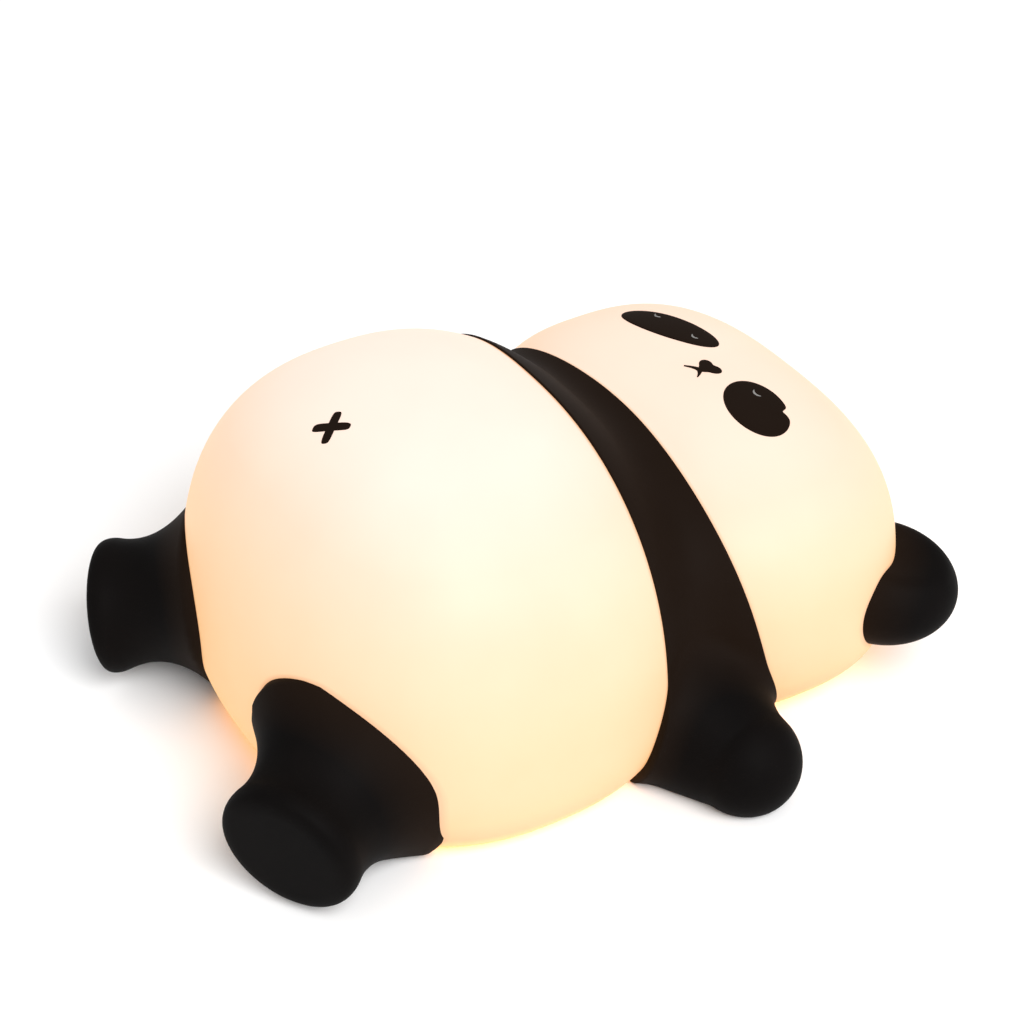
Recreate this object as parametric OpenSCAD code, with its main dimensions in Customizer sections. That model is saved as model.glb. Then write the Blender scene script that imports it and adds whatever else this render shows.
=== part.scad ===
// Soft silicone night light in the shape of a panda that lies on its back.
// A hollow white skin glows from inside; the limbs, ears and marks are black silicone
// bonded to it. A round lamp base is buttoned into an opening in the underside.
// Frame: origin on the table at the centre of the round base, +Z up,
// +Y from the feet to the head, +X to the panda's left.

/* [Torso] */
// Half width of the torso, side to side
torso_half_w = 72; // [60:1:88]
// Half length of the torso, feet to head
torso_half_l = 58; // [48:0.5:70]
// Height of the torso's widest level above the table
torso_mid_z = 27.5; // [24:0.5:32]
// Rise of the belly above the widest level
torso_rise = 68.5; // [57:0.5:82]
// Drop of the torso's rounded underside below the widest level, cut flat by the table
torso_drop = 40.5; // [36:0.5:49]
// Distance from the base's centre back to the torso's centre
torso_back = 16; // [10:0.5:20]

/* [Head] */
// Half width of the head, side to side
head_half_w = 66; // [55:1:79]
// Half length of the head, neck to crown
head_half_l = 43.5; // [36:0.5:52]
// Height of the head's widest level above the table
head_mid_z = 32; // [28:0.5:36]
// Rise of the face above the widest level
head_rise = 42; // [35:0.5:50]
// Drop of the head's rounded back below the widest level, cut flat by the table
head_drop = 38.5; // [35:0.5:47]
// How far the head sinks into the torso at the neck
neck_overlap = 24.5; // [16:0.5:28]
// Radius that softens the crease at the neck
neck_blend = 10.5; // [6:0.5:16]

/* [Skin] */
// Thickness of the silicone skin
skin_wall = 4; // [3:0.5:5.5]
// Thickness of the lip round the opening in the underside
lip_t = 2.2; // [1.6:0.2:3]

/* [Legs] */
// How far a sole's centre stands in from the torso's side
leg_inset = 16; // [12:0.5:22]
// How far a sole stands out from the torso, measured along the object
leg_reach = 28; // [23:0.5:34]
// Height of a sole's centre
leg_z = 19.5; // [18:0.5:24]
// Angle by which the legs spread outwards
leg_splay = 33; // [24:1:38]
// Angle by which a leg drops from the torso to its sole
leg_pitch = 5.5; // [0:0.5:8]
// Radius of the sole
sole_r = 20.5; // [17:0.5:24]
// Radius of the ankle, where the leg is narrowest
ankle_r = 18.5; // [15.5:0.5:22]
// Radius of the leg where it flares into the torso
thigh_r = 29; // [24:0.5:33]
// Length from the sole to the widest stretch of the flare
leg_len = 29; // [25:1:35]
// Rounding of the sole's rim
sole_round = 6; // [4:0.5:10]

/* [Arms and band] */
// How far a paw reaches out past the torso's side
arm_reach = 18.5; // [13:0.5:24]
// Distance from the torso's centre forward to a paw's centre
arm_forward = 47.3; // [40:0.1:54]
// Height of a paw's centre
paw_z = 10.5; // [8:0.5:14]
// Radius of a paw
paw_r = 14; // [12:0.5:17]
// Radius of the arm at its inner end
shoulder_r = 28; // [24:0.5:33]
// Length over which the arm widens
arm_len = 43; // [36:1:50]
// Angle by which the arms point towards the head
arm_angle = 12.5; // [0:0.5:20]
// Thickness of the black band over the chest
band_t = 1.2; // [0.8:0.1:2]
// Distance from the torso's centre to the band's foot-side edge
band_from_torso = 31.9; // [27:0.1:38]
// Distance from the head's centre to the band's head-side edge, at the height of the chest
band_from_head = 11.6; // [8:0.1:16]
// How far the head-side edge leans back for each millimetre of height
band_lean = 0.24; // [0:0.01:0.4]
// How far the head-side edge swings back for each millimetre out to the side
band_swing = 0.15; // [0:0.01:0.3]

/* [Ears] */
// How far an ear's centre stands in from the head's side
ear_inset = 13.5; // [10:0.5:18]
// How far an ear's centre stands in from the head's crown
ear_back = 16; // [12:0.5:20]
// Height of an ear's centre
ear_z = 28; // [24:0.5:32]
// Angle by which an ear points from the side towards the crown
ear_turn = 23; // [12:1:34]
// Half length of an ear, outwards from the head's corner
ear_half_out = 21; // [17.5:0.5:25]
// Half width of an ear, across that direction
ear_half_across = 18.5; // [15.5:0.5:22]
// Half height of an ear
ear_half_h = 14.5; // [12.5:0.5:17]
// Radius of the hollow in an ear's upper face
dish_r = 13; // [10:0.5:16]
// Depth of the hollow in an ear's upper face
ear_dish = 5.2; // [3:0.1:6.5]

/* [Face and navel] */
// Distance from the middle of the face to an eye patch's centre
eye_x = 23; // [19:0.1:26]
// Distance from the head's centre forward to the left eye patch's centre
left_eye_forward = 7.8; // [4:0.1:12]
// Distance from the head's centre forward to the right eye patch's centre
right_eye_forward = 10.3; // [6:0.1:14]
// Half length of the left eye patch
left_eye_half_l = 11.7; // [9:0.1:14]
// Half width of the left eye patch
left_eye_half_w = 7.6; // [5:0.1:9]
// Angle by which the left eye patch's outer end turns down towards the feet
left_eye_tilt = 9.5; // [0:0.5:25]
// Half length of the right eye patch
right_eye_half_l = 15; // [12:0.1:17]
// Half width of the right eye patch
right_eye_half_w = 6; // [4.5:0.1:8]
// Angle by which the right eye patch's outer end turns down towards the feet
right_eye_tilt = 17; // [0:1:25]
// Radius of the closed-eye arcs on the patches
arc_r = 2.2; // [1.8:0.1:3.4]
// Width of the arcs and of the mouth's strokes
stroke_w = 1; // [0.7:0.1:1.4]
// Distance that the nose stands from the middle of the face, towards the left eye
nose_x = 1.4; // [0:0.1:2]
// Distance from the head's centre forward to the nose
nose_forward = 7.2; // [3:0.1:10]
// Size of the nose, centre to corner
nose_r = 2.9; // [2:0.1:4]
// Distance from the torso's centre back to the navel cross
navel_back = 23.4; // [14:0.1:30]
// Length of one arm of the navel cross
navel_arm = 5; // [4:0.1:7]
// Thickness of the printed marks
mark_t = 0.7; // [0.5:0.1:1]

/* [Lamp base] */
// Thickness of the housing's wall and ceiling
housing_wall = 2; // [1.6:0.1:2.6]
// Width of the shoulder that holds the skin's lip from above
shoulder_w = 2.5; // [2:0.1:4]
// How far the bottom cover reaches out under the skin's lip
lip_grip = 4; // [3:0.5:6]
// Thickness of the bottom cover
cover_t = 2; // [1.6:0.1:2.6]
// Height of the bottom cover's underside above the table
cover_lift = 0.8; // [0.5:0.1:1.2]
// Radius of the non-slip pad in the middle of the cover
pad_r = 12; // [10:0.5:13]
// Depth of the pocket that the pad sits in
pad_pocket = 0.5; // [0.3:0.1:0.8]
// Radius of a screw's thread
screw_r = 1.1; // [1:0.05:1.3]
// Radius of a screw's head
screw_head_r = 2; // [1.8:0.1:2.4]
// Height of a screw's head
screw_head_t = 1.4; // [1:0.1:1.6]
// Radius of the screw bosses
boss_r = 2.8; // [2.6:0.1:3.2]

/* [Battery] */
// Diameter of the lithium cell
battery_d = 18.4; // [14.5:0.1:21]
// Length of the lithium cell
battery_l = 65; // [50:1:70]
// Room under the cell for its leads
battery_gap = 1.6; // [1.5:0.1:2.5]
// Thickness of the foam between the cell and the ceiling
foam_t = 0.8; // [0.5:0.1:1.5]

/* [Boards and light] */
// Thickness of the circuit boards
board_t = 1.2; // [1:0.1:1.6]
// Room between the bottom cover and the control board
board_lift = 13.2; // [13:0.1:16]
// Radius of the board that carries the LEDs
led_board_r = 25; // [23.5:0.5:28]
// Number of LEDs in the outer ring
outer_leds = 12; // [8:1:14]
// Number of LEDs in the inner ring
inner_leds = 6; // [4:1:6]
// Wall of the diffuser dome
dome_wall = 2; // [1.5:0.1:2.5]
// Room between the diffuser dome and the skin over it
dome_room = 25; // [18:1:30]

/* [Port and switches] */
// Distance from the base's centre to the port, the slider, the button and the light pipe
control_r = 19; // [17.5:0.5:20]
// Width of the well that takes the charging plug
well_w = 15; // [14:0.5:16]
// Length of the well that takes the charging plug
well_l = 9; // [8:0.5:10]
// Depth of the well, from the table
well_depth = 7.2; // [7:0.1:8]
// Travel of the power slider
slider_travel = 2.5; // [2:0.1:3]
// Travel of the timer button
button_travel = 0.8; // [0.5:0.1:1]

/* [Clearances] */
// Gap between silicone pieces that lie against each other
soft_gap = 0.5; // [0.4:0.05:0.6]
// Gap between hard pieces that seat on or in each other
fit_gap = 0.1; // [0.05:0.01:0.2]
// Gap round a piece that moves
run_gap = 0.2; // [0.15:0.01:0.3]

/* [Hidden] */
$fn = 64;

// Colours
WHITE_SILICONE = "oldlace";
BLACK_SILICONE = "#1b1917";
MARK_GREY = "#6d6a68";
HARD_WHITE = "white";
STEEL = "silver";

// Levels of the lamp base, from the table up
cover_top = cover_lift + cover_t;
lip_bottom = cover_top + fit_gap;
lip_top = lip_bottom + lip_t;
shoulder_z = lip_top + fit_gap;
board_z = cover_top + board_lift;
board_top = board_z + board_t;
battery_r = battery_d/2;
battery_z = board_top + battery_gap + battery_r;
ceiling_z = battery_z + battery_r + foam_t;
housing_top = ceiling_z + housing_wall;
led_top = housing_top + board_t;

// Radii of the lamp base, from the cell outwards
cell_room = 0.7;
housing_in_r = norm([battery_l/2, battery_r]) + cell_room;
housing_out_r = housing_in_r + housing_wall;
opening_r = housing_out_r - shoulder_w;
neck_out_r = opening_r - fit_gap;
neck_in_r = neck_out_r - housing_wall;
cover_r = opening_r + lip_grip;
cover_room = 0.5;
recess_r = cover_r + cover_room;
screw_circle = neck_in_r - boss_r + 0.6;
board_room = 0.8;
board_r = screw_circle - boss_r - board_room;

// The torso, the head and the flat pan round the base: half sizes to the side, along,
// up and down, then the powers that square off the plan, the top and the underside
torso_at = [0, -torso_back, torso_mid_z];
torso_half = [torso_half_w, torso_half_l, torso_rise, torso_drop];
torso_power = [2.4, 2.35, 2.6];
head_y = -torso_back + torso_half_l + head_half_l - neck_overlap;
head_at = [0, head_y, head_mid_z];
head_half = [head_half_w, head_half_l, head_rise, head_drop];
head_power = [2.65, 2.8, 2.9];
pan_room = [10, 20];
pan_forward = 14;
pan_mid_z = 22;
pan_at = [0, pan_forward, pan_mid_z];
pan_half = [cover_r + pan_room.x, cover_r + pan_room.y, 26, 36];
pan_power = [2.3, 2.3, 2.75];
pan_blend = 5;

// A point inside both torso and head, from which every part of the skin is in sight
heart = [0, head_y - head_half_l + neck_overlap/2, torso_mid_z];

// ---- Shapes given by a formula: below 0 inside, above 0 outside ----

// A rounded, egg-like form with its own power for the plan, the top and the underside
function egg(p, half, power) =
    let (m = p.z > 0 ? power[1] : power[2],
         c = p.z > 0 ? half[2] : half[3],
         plan = (abs(p.x)/half[0])^power[0] + (abs(p.y)/half[1])^power[0],
         level = (plan^(m/power[0]) + (abs(p.z)/c)^m)^(1/m))
    (level - 1)*min(half[0], half[1], half[2]);

// Two forms joined with a soft crease
function blend(a, b, k) =
    let (h = min(1, max(0, 0.5 + 0.5*(b - a)/k)))
    b*(1 - h) + a*h - k*h*(1 - h);

function shrink(half, t) = [for (h = half) h - t];

// The white body, made smaller all round by inset
function body(p, inset = 0) =
    blend(blend(egg(p - torso_at, shrink(torso_half, inset), torso_power),
                egg(p - head_at, shrink(head_half, inset), head_power), neck_blend),
          egg(p - pan_at, shrink(pan_half, inset), pan_power), pan_blend);

// Clear of the body's surface and above the table
function outside_body(p) = max(soft_gap - body(p), -p.z);

// The left leg: a waisted stem with a round flat sole
leg_dir = [-sin(leg_splay)*cos(leg_pitch), cos(leg_splay)*cos(leg_pitch), sin(leg_pitch)];
leg_x = torso_half_w - leg_inset;
torso_end_y = -torso_back - torso_half_l*(1 - (leg_x/torso_half_w)^torso_power[0])^(1/torso_power[0]);
sole_at = [leg_x, torso_end_y - leg_reach, leg_z];
leg_end = 1.3;
function leg_radius(s) =
    let (b = -3*sole_r - thigh_r + 4*ankle_r, c = 2*(sole_r + thigh_r - 2*ankle_r))
    sole_r + b*s + c*s*s;
function sole_rim(t) = t > sole_round ? 0 : sole_round - sqrt(max(0, t*(2*sole_round - t)));
function leg(p) =
    let (q = p - sole_at, t = q*leg_dir, s = min(1, max(0, t/leg_len)),
         r = leg_radius(s) - sole_rim(max(0, t)))
    max(norm(q - t*leg_dir) - r, -t, t - leg_len*leg_end, outside_body(p));

// The left arm: a cone with a round paw, flat where it lies on the table
arm_rise = 0.12;
arm_aim = [-cos(arm_angle), -sin(arm_angle), arm_rise];
arm_dir = arm_aim/norm(arm_aim);
paw_at = [torso_half_w + arm_reach - paw_r, arm_forward - torso_back, paw_z];
function arm(p) =
    let (q = p - paw_at, t = min(arm_len, max(0, q*arm_dir)),
         r = paw_r + (shoulder_r - paw_r)*t/arm_len)
    max(norm(q - t*arm_dir) - r, outside_body(p));

// The left ear: a thick lobe at the corner of the head, with a round hollow in its upper face
ear_at = [head_half_w - ear_inset, head_y + head_half_l - ear_back, ear_z];
ear_out = [cos(ear_turn), sin(ear_turn), 0];
ear_across = [-sin(ear_turn), cos(ear_turn), 0];
dish_at = ear_at + [6.5, 4.5, ear_half_h - ear_dish + dish_r];
function ear(p) =
    let (q = p - ear_at,
         level = norm([q*ear_out/ear_half_out, q*ear_across/ear_half_across, q.z/ear_half_h]))
    max((level - 1)*ear_half_h, dish_r - norm(p - dish_at), outside_body(p));

// ---- Finding a surface along a ray ----

function halve(f, a, b, n) =
    let (m = (a + b)/2)
    n == 0 ? m : f(m) > 0 ? halve(f, a, m, n - 1) : halve(f, m, b, n - 1);
function step_out(f, at, step) = f(at + step) > 0 ? halve(f, at, at + step, 11) : step_out(f, at + step, step);
function surface_point(f, from, dir, step = 7) =
    from + step_out(function(t) f(from + t*dir), 0, step)*dir;
function top_point(x, y, lift) =
    surface_point(function(p) body(p) - lift, [x, y, torso_mid_z], [0, 0, 1]);

// ---- Closed solids from loops of points ----

// A closed solid from a first point, loops that each hold n points, and a last point
function loft_faces(m, n) = concat(
    [for (i = [0:n-1]) [0, 1 + (i + 1)%n, 1 + i]],
    [for (j = [0:m-2], i = [0:n-1])
        let (a = 1 + j*n + i, b = 1 + j*n + (i + 1)%n) each [[a, b, b + n], [a, b + n, a + n]]],
    [for (i = [0:n-1]) [1 + m*n, 1 + (m - 1)*n + i, 1 + (m - 1)*n + (i + 1)%n]]);
module loft(first, loops, last) {
    m = len(loops);
    polyhedron([first, for (loop = loops) each loop, last], loft_faces(m, len(loops[0])), convexity = 6);
}

// A closed solid from everything that one point inside it can see
module blob(f, centre, axis, around, rings) {
    w = axis/norm(axis);
    u = cross(w, [0, 0, 1])/norm(cross(w, [0, 0, 1]));
    v = cross(w, u);
    dirs = [for (j = [1:rings-1]) [for (i = [0:around-1])
        cos(180*j/rings)*w + sin(180*j/rings)*(cos(360*i/around)*u + sin(360*i/around)*v)]];
    loft(surface_point(f, centre, w, 3),
        [for (row = dirs) [for (d = row) surface_point(f, centre, d, 3)]],
        surface_point(f, centre, -w, 3));
}

// A thin mark that lies on the body's top; reach(a) is its outline round its centre
module surface_mark(x, y, reach, n, low, high) {
    pts = function(s, lift) [for (i = [0:n-1])
        let (a = 360*i/n, r = s*reach(a)) top_point(x + r*cos(a), y + r*sin(a), lift)];
    loft(top_point(x, y, high),
        [pts(0.5, high), pts(0.94, high), pts(1, (low + high)/2), pts(0.98, low), pts(0.5, low)],
        top_point(x, y, low));
}

// A thin stroke that lies on the body's top along path(s), s from 0 to 1
module surface_stroke(path, width, low, high) {
    steps = 8;
    side = function(s) let (d = path(s + 0.01) - path(s - 0.01)) [-d.y, d.x]/norm(d)*width/2;
    corner = function(s, k, lift) let (c = path(s) + k*side(s)) top_point(c.x, c.y, lift);
    loft(corner(0, 0, (low + high)/2),
        [for (i = [0:steps]) let (s = i/steps, k = i == 0 || i == steps ? 0.5 : 1)
            [corner(s, -k, high), corner(s, k, high), corner(s, k, low), corner(s, -k, low)]],
        corner(1, 0, (low + high)/2));
}

// ---- Silicone pieces ----

around = 48;
outer_rings = 26;
inner_rings = 16;
function compass(i) = 360*i/around;
function floor_point(inset, z, i) =
    surface_point(function(p) body(p, inset), [heart.x, heart.y, z], [cos(compass(i)), sin(compass(i)), 0]);
// One ring of the skin: share 0 is straight up from the heart, share 1 the ring on the floor
function skin_ring(inset, floor_ring, share) = [for (i = [0:around-1])
    let (d = floor_ring[i] - heart, tilt = share*acos(d.z/norm(d)))
    surface_point(function(p) body(p, inset), heart,
        [cos(compass(i))*sin(tilt), sin(compass(i))*sin(tilt), cos(tilt)])];
function circle_ring(r, z) = [for (i = [0:around-1]) [r*cos(compass(i)), r*sin(compass(i)), z]];

module body_skin() color(WHITE_SILICONE) {
    outer_floor = [for (i = [0:around-1]) floor_point(0, 0, i)];
    inner_floor = [for (i = [0:around-1]) floor_point(skin_wall, lip_top, i)];
    loft(surface_point(function(p) body(p), heart, [0, 0, 1]),
        [for (j = [1:outer_rings-1]) skin_ring(0, outer_floor, j/outer_rings),
         outer_floor,
         circle_ring(recess_r, 0),
         circle_ring(recess_r, lip_bottom),
         circle_ring(opening_r, lip_bottom),
         circle_ring(opening_r, lip_top),
         inner_floor,
         for (j = [1:inner_rings-1]) skin_ring(skin_wall, inner_floor, 1 - j/inner_rings)],
        surface_point(function(p) body(p, skin_wall), heart, [0, 0, 1]));
}

// The chest band runs over the body from arm to arm; its two edges lean with the neck
band_axis_z = 28;
band_low = 20;
band_steps = 34;
band_cells = 7;
chest_z = 38;
swing_from = 22;
band_foot_y = -torso_back + band_from_torso;
band_head_y = head_y - band_from_head;
function band_point(y, a, lift) =
    surface_point(function(p) body(p) - lift, [0, y, band_axis_z], [cos(a), 0, sin(a)]);
function band_edge(a) =
    let (p = band_point(heart.y, a, 0))
    band_head_y - band_lean*(p.z - chest_z) - band_swing*(norm([p.x, swing_from]) - swing_from);
function band_loop(a) =
    let (y2 = band_edge(a), ys = [for (k = [0:band_cells]) y2 + (band_foot_y - y2)*k/band_cells])
    concat([for (y = ys) band_point(y, a, band_t)],
           [for (k = [band_cells:-1:0]) band_point(ys[k], a, soft_gap)]);
function mid(points) = [for (axis = [0:2]) [for (p = points) p[axis]]*[for (p = points) 1]/len(points)];
module chest_band() {
    loops = [for (j = [0:band_steps]) band_loop(-band_low + (180 + 2*band_low)*j/band_steps)];
    loft(mid(loops[0]), loops, mid(loops[band_steps]));
}
module left_arm() {
    blob(function(p) arm(p), paw_at + [-4, 0, 2], [1, 0, 0], 28, 18);
}
module arm_band() color(BLACK_SILICONE) {
    union() {
        chest_band();
        left_arm();
        mirror([1, 0, 0]) left_arm();
    }
}

module left_leg() color(BLACK_SILICONE)
    blob(function(p) leg(p), sole_at + leg_len/2*leg_dir, -leg_dir, 28, 20);
module right_leg() mirror([1, 0, 0]) left_leg();

module left_ear() color(BLACK_SILICONE)
    blob(function(p) ear(p), ear_at + 10*ear_out + [0, 0, -2], ear_out, 26, 18);
module right_ear() mirror([1, 0, 0]) left_ear();

// ---- Marks on the face and the belly ----

mark_gap = 0.15;
left_eye_y = head_y + left_eye_forward;
right_eye_y = head_y + right_eye_forward;
function oval(a, half_l, half_w, turn) =
    half_l*half_w/norm([half_w*cos(a - turn), half_l*sin(a - turn)]);
module left_eye_patch() color(BLACK_SILICONE)
    surface_mark(eye_x, left_eye_y, function(a) oval(a, left_eye_half_l, left_eye_half_w, -left_eye_tilt), 28,
        mark_gap, mark_gap + mark_t);
module right_eye_patch() color(BLACK_SILICONE)
    surface_mark(-eye_x, right_eye_y, function(a) oval(a, right_eye_half_l, right_eye_half_w, right_eye_tilt), 28,
        mark_gap, mark_gap + mark_t);

// A closed-eye arc lies on a patch, with its ends towards the feet
patch_top = mark_gap + mark_t;
arc_t = 0.35;
arc_half_angle = 50;
module eye_arc(at)
    surface_stroke(function(s) at + arc_r*[sin(arc_half_angle*(2*s - 1)), cos(arc_half_angle*(2*s - 1))],
        stroke_w, patch_top, patch_top + arc_t);
left_arc_at = [eye_x - 4.5, left_eye_y - 0.5];
right_arcs_at = [[-eye_x - 6, right_eye_y - 3.2], [-eye_x + 9, right_eye_y - 0.4]];
module left_eye_arc() color(MARK_GREY)
    eye_arc(left_arc_at);
module right_eye_arcs() color(MARK_GREY)
    for (at = right_arcs_at) eye_arc(at);

// A rounded wedge, wide above and narrow below, and the mouth's two strokes
nose_y = head_y + nose_forward;
mouth_y = nose_y - 3.2;
mouth_half_w = 3.2;
mouth_drop = 2.2;
module nose_and_mouth() color(BLACK_SILICONE) {
    surface_mark(nose_x, nose_y, function(a) nose_r*(1 + 0.22*sin(3*a)), 18, mark_gap, mark_gap + mark_t);
    for (side = [-1, 1])
        surface_stroke(function(s) [nose_x + side*(0.2 + mouth_half_w*s), mouth_y - mouth_drop*s],
            stroke_w, mark_gap, mark_gap + mark_t);
}

// A cross with four rounded arms that taper to the middle and point between the axes
navel_half_w = 1.15;
module navel_cross() color(BLACK_SILICONE)
    surface_mark(0, -torso_back - navel_back,
        function(a) let (b = (a + 360)%90 - 45)
            ((1/navel_arm)^5 + (abs(sin(b))/navel_half_w)^5)^(-1/5),
        40, mark_gap, mark_gap + mark_t);

// ---- Lamp base ----

module at_screws() for (a = [45:90:315]) rotate(a) translate([screw_circle, 0, 0]) children();
post_r = 2.6;
post_circle = board_r - screw_head_r - 2.6;
post_angle = 60;
module at_posts() for (a = [post_angle, 180 - post_angle, 180 + post_angle, -post_angle])
    rotate(a) translate([post_circle, 0, 0]) children();
led_screw_circle = led_board_r - screw_head_r - 1.4;
module at_led_screws() for (a = [90, 210, 330]) rotate(a) translate([led_screw_circle, 0, 0]) children();
thread_gap = 0.05;
cover_screw_l = 10;
board_screw_l = 7;
lead_r = 0.6;
led_lead_y = -(post_circle + 1);
led_lead_x = 2;
rim_w = 1.4;
rim_h = 1.4;

module base_housing() color(HARD_WHITE) difference() {
    union() {
        rotate_extrude() polygon([[neck_in_r, cover_top], [neck_out_r, cover_top], [neck_out_r, shoulder_z],
            [housing_out_r, shoulder_z], [housing_out_r, housing_top],
            [housing_in_r, housing_top], [housing_in_r, housing_top + rim_h],
            [housing_in_r - rim_w, housing_top + rim_h], [housing_in_r - rim_w, housing_top],
            [0, housing_top], [0, ceiling_z], [housing_in_r, ceiling_z],
            [housing_in_r, shoulder_z + housing_wall], [neck_in_r, shoulder_z + housing_wall]]);
        at_screws() translate([0, 0, cover_top]) cylinder(r = boss_r, h = cover_screw_l + 2);
        at_posts() translate([0, 0, board_top]) cylinder(r = post_r, h = ceiling_z - board_top + 1);
    }
    at_screws() translate([0, 0, cover_top - 1]) cylinder(r = screw_r + thread_gap, h = cover_screw_l + 1);
    at_posts() translate([0, 0, board_top - 1]) cylinder(r = screw_r + thread_gap, h = board_screw_l + 1);
    at_led_screws() translate([0, 0, ceiling_z - 1]) cylinder(r = screw_r + thread_gap, h = housing_wall + 2);
    for (side = [-1, 1]) translate([side*led_lead_x, led_lead_y, ceiling_z - 1])
        cylinder(r = lead_r + run_gap, h = housing_wall + 2);
}

// Places of the controls on the cover: the port towards the head, the slider to the
// right, the button to the left, the charge light towards the feet
port_at = [0, control_r];
slider_at = [-control_r, -slider_travel/2];
button_at = [control_r, 0];
pipe_at = [0, -control_r];
well_wall = 1.4;
port_w = 8.94;
port_t = 3.2;
finger_w = 3.6;
finger_l = 6;
button_r = 3.1;
pipe_r = 1.2;

module corners(w, l, r) for (x = [-1, 1], y = [-1, 1]) translate([x*(w/2 - r), y*(l/2 - r)]) circle(r);
module round_block(w, l, h, r) linear_extrude(h) union() {
    square([w - 2*r, l], center = true);
    square([w, l - 2*r], center = true);
    corners(w, l, r);
}

module bottom_cover() color(HARD_WHITE) difference() {
    union() {
        translate([0, 0, cover_lift]) cylinder(r = cover_r, h = cover_t);
        translate([port_at.x, port_at.y, cover_lift])
            round_block(well_w + 2*well_wall, well_l + 2*well_wall, well_depth + well_wall - cover_lift, 2);
    }
    translate([0, 0, cover_lift - 1]) cylinder(r = pad_r + fit_gap, h = pad_pocket + 1);
    translate([port_at.x, port_at.y, cover_lift - 1]) round_block(well_w, well_l, well_depth - cover_lift + 1, 1.5);
    translate([port_at.x, port_at.y, 0])
        round_block(port_w + 2*fit_gap, port_t + 2*fit_gap, well_depth + well_wall + 1, port_t/2);
    translate([slider_at.x, 0, 0])
        round_block(finger_w + 2*run_gap, finger_l + slider_travel + 2*run_gap, cover_top + 1, 0.6);
    translate([button_at.x, button_at.y, 0]) cylinder(r = button_r + run_gap, h = cover_top + 1);
    translate([pipe_at.x, pipe_at.y, 0]) cylinder(r = pipe_r + fit_gap, h = cover_top + 1);
    at_screws() {
        cylinder(r = screw_r + run_gap, h = cover_top + 1);
        translate([0, 0, cover_lift - 1]) cylinder(r = screw_head_r + run_gap, h = screw_head_t + 1 + fit_gap);
    }
}

// A pan-head screw whose head's underside is at the origin and whose thread points up
module screw(length) {
    difference() {
        translate([0, 0, -screw_head_t]) cylinder(r = screw_head_r, h = screw_head_t);
        for (a = [0, 90]) rotate(a) translate([-screw_head_r*0.6, -0.25, -screw_head_t - 1])
            cube([screw_head_r*1.2, 0.5, 1.6]);
    }
    cylinder(r = screw_r, h = length);
}
module cover_screws() color(STEEL)
    at_screws() translate([0, 0, cover_lift + screw_head_t + fit_gap]) screw(cover_screw_l - 1);
module board_screws() color(STEEL)
    at_posts() translate([0, 0, board_z]) screw(board_screw_l);
module led_board_screws() color(STEEL)
    at_led_screws() translate([0, 0, led_top]) mirror([0, 0, 1]) screw(board_t + housing_wall - 0.2);

module non_slip_pad() color("dimgray") cylinder(r = pad_r, h = cover_lift + pad_pocket);

// ---- Boards, cell and light ----

module control_board() color("seagreen") difference() {
    translate([0, 0, board_z]) cylinder(r = board_r, h = board_t);
    at_posts() translate([0, 0, board_z - 1]) cylinder(r = screw_r + fit_gap, h = board_t + 2);
}

// The chips, the coil and the charge light under the control board: a place, then
// the width, length and height
board_parts_list = [[[-8, -9], 5, 5, 1], [[6, -8], 4, 4, 2.2], [[-9, 6], 6, 4, 1.6],
    [[9, 7], 3, 5, 1.2], [[0, -12], 3, 1.6, 0.8], [pipe_at, 2, 2, 0.8]];
module board_parts() color("darkslategray") {
    for (b = board_parts_list)
        translate([b[0].x - b[1]/2, b[0].y - b[2]/2, board_z - b[3]]) cube([b[1], b[2], b[3]]);
}

// The tap sensor stands between two posts, clear of the button's switch
tap_angle = -28;
tap_circle = post_circle - 2;
tap_r = 2;
tap_h = 6;
module tap_sensor() color("goldenrod")
    rotate(tap_angle) translate([tap_circle, 0, board_z - tap_h]) cylinder(r = tap_r, h = tap_h);

nub_r = 3.2;
nub_l = 1.2;
module battery_cell() color("royalblue") translate([0, 0, battery_z]) rotate([0, 90, 0]) {
    translate([0, 0, -battery_l/2]) cylinder(r = battery_r, h = battery_l - nub_l);
    translate([0, 0, battery_l/2 - nub_l]) cylinder(r = nub_r, h = nub_l);
}

foam_w = 10;
foam_l = 48;
foam_grip = 1.4;
module battery_foam() color("gainsboro") difference() {
    translate([-foam_l/2, -foam_w/2, ceiling_z - foam_t - foam_grip]) cube([foam_l, foam_w, foam_t + foam_grip]);
    translate([0, 0, battery_z]) rotate([0, 90, 0]) cylinder(r = battery_r, h = foam_l + 2, center = true);
}

// A lead goes from a tab at the cell's end down, then inwards under the cell to the board
tab_t = 0.3;
lead_in = 21;
lead_z = board_top + 0.15 + lead_r;
module battery_lead(side) {
    end_x = battery_l/2 + tab_t + lead_r;
    mirror([side < 0 ? 1 : 0, 0, 0]) {
        translate([battery_l/2, -2, battery_z - 6]) cube([tab_t, 4, 8]);
        translate([end_x, 0, lead_z]) cylinder(r = lead_r, h = battery_z - 2 - lead_z, $fn = 24);
        translate([end_x, 0, lead_z]) sphere(r = lead_r, $fn = 24);
        translate([lead_in, 0, lead_z]) rotate([0, 90, 0]) cylinder(r = lead_r, h = end_x - lead_in, $fn = 24);
        translate([lead_in, 0, board_top]) cylinder(r = lead_r, h = lead_z - board_top, $fn = 24);
    }
}
module battery_lead_plus() color("crimson") battery_lead(1);
module battery_lead_minus() color("black") battery_lead(-1);

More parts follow.
